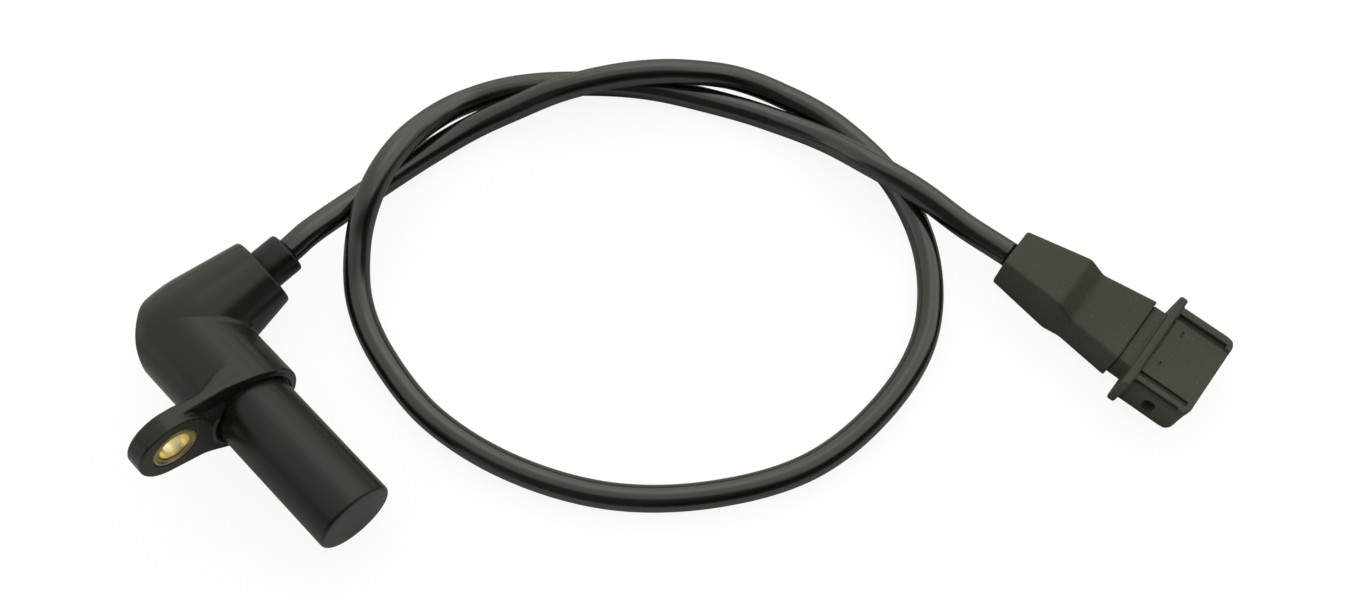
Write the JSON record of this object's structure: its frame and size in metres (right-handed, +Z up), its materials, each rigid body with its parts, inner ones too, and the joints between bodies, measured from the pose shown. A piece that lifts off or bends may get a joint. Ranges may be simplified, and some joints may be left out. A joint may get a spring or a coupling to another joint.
{
  "type": "crankshaft position sensor",
  "caption": "Crankshaft position sensor with an elbow housing, a smooth sensing barrel, a mounting ear with a brass bush, and a loop of cable to a flat three-way plug.",
  "frame": {"origin": "on the sensing barrel's axis, in the plane of the flange face that seats on the engine", "axes": "-Y along the barrel towards its sensing tip, +X along the outlet arm towards the cable, +Z up from the floor that the sensor and its cable lie on"},
  "size_m": [0.1931, 0.1844, 0.0302],
  "materials": {
    "housing_plastic": "satin glass-filled plastic",
    "barrel_plastic": "satin, smooth",
    "bush_brass": "turned",
    "grommet_rubber": "satin",
    "cable_sheath": "semi-gloss",
    "boot_rubber": "matt",
    "plug_plastic": "matt, slightly dusty",
    "pole_iron": "turned",
    "magnet": "ground",
    "inner_plastic": "moulded",
    "winding_copper": "enamelled wire",
    "contact_metal": "tinned",
    "core_red": "insulated core",
    "core_white": "insulated core",
    "core_shield": "braid"
  },
  "bodies": {
    "root": {"sensor_housing": "housing_plastic", "sensing_barrel": "barrel_plastic", "mounting_bush": "bush_brass", "pole_pin": "pole_iron", "magnet": "magnet", "coil_bobbin": "inner_plastic", "coil_winding": "winding_copper", "terminal_carrier": "inner_plastic", "terminal_a": "contact_metal", "terminal_b": "contact_metal", "terminal_shield": "contact_metal", "conductor_a": "core_red", "conductor_b": "core_white", "conductor_shield": "core_shield", "cable_grommet": "grommet_rubber", "cable": "cable_sheath", "plug_boot": "boot_rubber", "plug_housing": "plug_plastic", "contact_blade_1": "contact_metal", "contact_blade_2": "contact_metal", "contact_blade_3": "contact_metal", "plug_core_1": "core_red", "plug_core_2": "core_white", "plug_core_3": "core_shield"}
  },
  "joints": []
}
